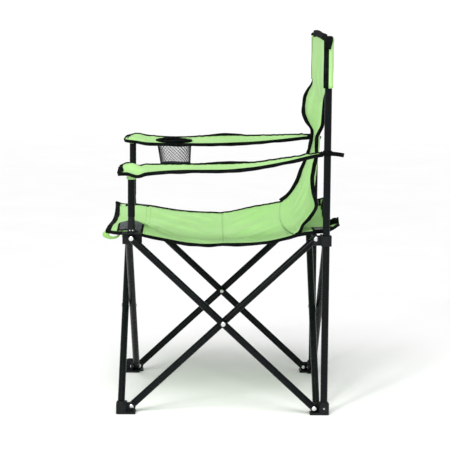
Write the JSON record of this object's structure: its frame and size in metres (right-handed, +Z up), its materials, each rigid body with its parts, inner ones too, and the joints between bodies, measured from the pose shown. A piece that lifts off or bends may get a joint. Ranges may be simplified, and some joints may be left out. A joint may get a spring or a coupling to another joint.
{
  "type": "folding camp chair",
  "caption": "Folding camp chair: steel scissor frame on moulded feet, fabric seat, back and arm rests, net cup holder in the right arm; folds to a slim bundle.",
  "frame": {"origin": "on the floor under the middle of the chair's box, within 6 mm; the scissor frame's own centre is the origin exactly", "axes": "+Z up, the chair faces -Y, the sitter's left is +X"},
  "size_m": [0.56, 0.5339, 0.842],
  "materials": {
    "dark_tube": "semi-gloss powder coat",
    "black_plastic": "moulded satin",
    "rivet_steel": "bright zinc plate",
    "green_fabric": "coated plain-weave polyester",
    "green_webbing": "woven tape",
    "black_webbing": "woven tape",
    "grey_patch": "coarse coated weave",
    "grey_net": "open diamond net"
  },
  "bodies": {
    "rear_left": {"foot_rear_left": "black_plastic", "rivets_foot_rear_left": "rivet_steel", "post_rear_left": "dark_tube", "post_pin_rear_left": "rivet_steel", "cap_rear_left": "black_plastic", "back_sleeve_left": "green_fabric", "arm_strap_left": "black_webbing", "back_upper": "green_fabric"},
    "left_outer": {"tube_left_outer": "dark_tube", "rivet_cross_left": "rivet_steel"},
    "left_inner": {"tube_left_inner": "dark_tube"},
    "front_left_foot": {"foot_front_left": "black_plastic", "rivets_foot_front_left": "rivet_steel"},
    "front_left_bracket": {"bracket_front_left": "black_plastic", "rivets_bracket_front_left": "rivet_steel", "neck_pins_front_left": "rivet_steel", "post_front_left": "dark_tube", "cap_front_left": "black_plastic", "arm_pocket_left": "green_fabric"},
    "rear_left_bracket": {"bracket_rear_left": "black_plastic", "rivets_bracket_rear_left": "rivet_steel", "back_lower": "green_fabric"},
    "rear_inner": {"tube_rear_inner": "dark_tube", "rivet_cross_rear": "rivet_steel"},
    "rear_outer": {"tube_rear_outer": "dark_tube"},
    "rear_right_bracket": {"bracket_rear_right": "black_plastic", "rivets_bracket_rear_right": "rivet_steel"},
    "rear_right": {"foot_rear_right": "black_plastic", "rivets_foot_rear_right": "rivet_steel", "post_rear_right": "dark_tube", "post_pin_rear_right": "rivet_steel", "cap_rear_right": "black_plastic", "back_sleeve_right": "green_fabric", "arm_strap_right": "black_webbing"},
    "right_inner": {"tube_right_inner": "dark_tube", "rivet_cross_right": "rivet_steel"},
    "right_outer": {"tube_right_outer": "dark_tube"},
    "front_right_bracket": {"bracket_front_right": "black_plastic", "rivets_bracket_front_right": "rivet_steel", "neck_pins_front_right": "rivet_steel", "post_front_right": "dark_tube", "cap_front_right": "black_plastic", "arm_pocket_right": "green_fabric"},
    "front_right_foot": {"foot_front_right": "black_plastic", "rivets_foot_front_right": "rivet_steel"},
    "front_outer": {"tube_front_outer": "dark_tube", "rivet_cross_front": "rivet_steel"},
    "front_inner": {"tube_front_inner": "dark_tube"},
    "seat_front_half": {"seat_front": "green_fabric", "corner_patch_front_left": "grey_patch", "corner_patch_front_right": "grey_patch", "corner_loop_front_left": "green_webbing", "corner_loop_front_right": "green_webbing"},
    "seat_rear_half": {"seat_rear": "green_fabric", "corner_patch_rear_left": "grey_patch", "corner_patch_rear_right": "grey_patch"},
    "arm_rest_left": {"arm_left": "green_fabric"},
    "arm_rest_right": {"arm_right": "green_fabric", "cup_ring": "black_webbing", "cup_net": "grey_net"}
  },
  "joints": [
    {"name": "fold", "type": "hinge", "parent": "rear_left", "child": "left_outer", "pos_m": [0.228, 0.2045, 0.0145], "axis": [-1, 0, 0], "range_deg": [0, 42], "deforming": ["seat_front", "seat_rear", "back_upper", "back_lower", "arm_left", "arm_right", "cup_ring", "cup_net", "corner_patch_front_left", "corner_patch_front_right", "corner_patch_rear_left", "corner_patch_rear_right", "corner_loop_front_left", "corner_loop_front_right"]},
    {"name": "left_cross", "type": "hinge", "parent": "left_outer", "child": "left_inner", "pos_m": [0.2195, 0, 0.205], "axis": [1, 0, 0], "range_deg": [0, 84.02]},
    {"name": "left_front_top", "type": "hinge", "parent": "left_outer", "child": "front_left_bracket", "pos_m": [0.228, -0.2045, 0.3955], "axis": [1, 0, 0], "range_deg": [0, 42.02]},
    {"name": "left_front_foot", "type": "hinge", "parent": "left_inner", "child": "front_left_foot", "pos_m": [0.211, -0.2045, 0.0145], "axis": [-1, 0, 0], "range_deg": [0, 42.02]},
    {"name": "left_rear_top", "type": "hinge", "parent": "left_inner", "child": "rear_left_bracket", "pos_m": [0.211, 0.2045, 0.3955], "axis": [-1, 0, 0], "range_deg": [0, 42.02]},
    {"name": "rear_left_low", "type": "hinge", "parent": "rear_left", "child": "rear_inner", "pos_m": [0.2045, 0.211, 0.0145], "axis": [0, 1, 0], "range_deg": [0, 42.02]},
    {"name": "rear_cross", "type": "hinge", "parent": "rear_inner", "child": "rear_outer", "pos_m": [0, 0.2195, 0.205], "axis": [0, -1, 0], "range_deg": [0, 84.02]},
    {"name": "rear_right_top", "type": "hinge", "parent": "rear_inner", "child": "rear_right_bracket", "pos_m": [-0.2045, 0.211, 0.3955], "axis": [0, -1, 0], "range_deg": [0, 42.02]},
    {"name": "rear_right_low", "type": "hinge", "parent": "rear_outer", "child": "rear_right", "pos_m": [-0.2045, 0.228, 0.0145], "axis": [0, 1, 0], "range_deg": [0, 42.02]},
    {"name": "right_rear_low", "type": "hinge", "parent": "rear_right", "child": "right_inner", "pos_m": [-0.211, 0.2045, 0.0145], "axis": [-1, 0, 0], "range_deg": [0, 42.02]},
    {"name": "right_cross", "type": "hinge", "parent": "right_inner", "child": "right_outer", "pos_m": [-0.2195, 0, 0.205], "axis": [1, 0, 0], "range_deg": [0, 84.02]},
    {"name": "right_front_top", "type": "hinge", "parent": "right_inner", "child": "front_right_bracket", "pos_m": [-0.211, -0.2045, 0.3955], "axis": [1, 0, 0], "range_deg": [0, 42.02]},
    {"name": "right_front_foot", "type": "hinge", "parent": "right_outer", "child": "front_right_foot", "pos_m": [-0.228, -0.2045, 0.0145], "axis": [-1, 0, 0], "range_deg": [0, 42.02]},
    {"name": "front_left_low", "type": "hinge", "parent": "front_left_foot", "child": "front_outer", "pos_m": [0.2045, -0.228, 0.0145], "axis": [0, 1, 0], "range_deg": [0, 42.02]},
    {"name": "front_cross", "type": "hinge", "parent": "front_outer", "child": "front_inner", "pos_m": [0, -0.2195, 0.205], "axis": [0, -1, 0], "range_deg": [0, 84.02]},
    {"name": "seat_front_drop", "type": "hinge", "parent": "front_left_bracket", "child": "seat_front_half", "pos_m": [0, -0.19, 0.407], "axis": [-1, 0, 0], "range_deg": [0, 80.02]},
    {"name": "seat_rear_drop", "type": "hinge", "parent": "rear_left_bracket", "child": "seat_rear_half", "pos_m": [0, 0.19, 0.405], "axis": [1, 0, 0], "range_deg": [0, 80.02]},
    {"name": "arm_left_lift", "type": "hinge", "parent": "rear_left", "child": "arm_rest_left", "pos_m": [0.2265, 0.217, 0.586], "axis": [-1, 0, 0], "range_deg": [0, 76.94]},
    {"name": "arm_right_lift", "type": "hinge", "parent": "rear_right", "child": "arm_rest_right", "pos_m": [-0.2265, 0.217, 0.589], "axis": [-1, 0, 0], "range_deg": [0, 67.47]}
  ],
  "couplings": [
    {"joint": "left_cross", "follows": "fold", "ratio": 2},
    {"joint": "left_front_top", "follows": "fold", "ratio": 1},
    {"joint": "left_front_foot", "follows": "fold", "ratio": 1},
    {"joint": "left_rear_top", "follows": "fold", "ratio": 1},
    {"joint": "rear_left_low", "follows": "fold", "ratio": 1},
    {"joint": "rear_cross", "follows": "fold", "ratio": 2},
    {"joint": "rear_right_top", "follows": "fold", "ratio": 1},
    {"joint": "rear_right_low", "follows": "fold", "ratio": 1},
    {"joint": "right_rear_low", "follows": "fold", "ratio": 1},
    {"joint": "right_cross", "follows": "fold", "ratio": 2},
    {"joint": "right_front_top", "follows": "fold", "ratio": 1},
    {"joint": "right_front_foot", "follows": "fold", "ratio": 1},
    {"joint": "front_left_low", "follows": "fold", "ratio": 1},
    {"joint": "front_cross", "follows": "fold", "ratio": 2},
    {"joint": "seat_front_drop", "follows": "fold", "ratio": 1.9048},
    {"joint": "seat_rear_drop", "follows": "fold", "ratio": 1.9048},
    {"joint": "arm_left_lift", "follows": "fold", "ratio": 1.8314},
    {"joint": "arm_right_lift", "follows": "fold", "ratio": 1.606}
  ]
}
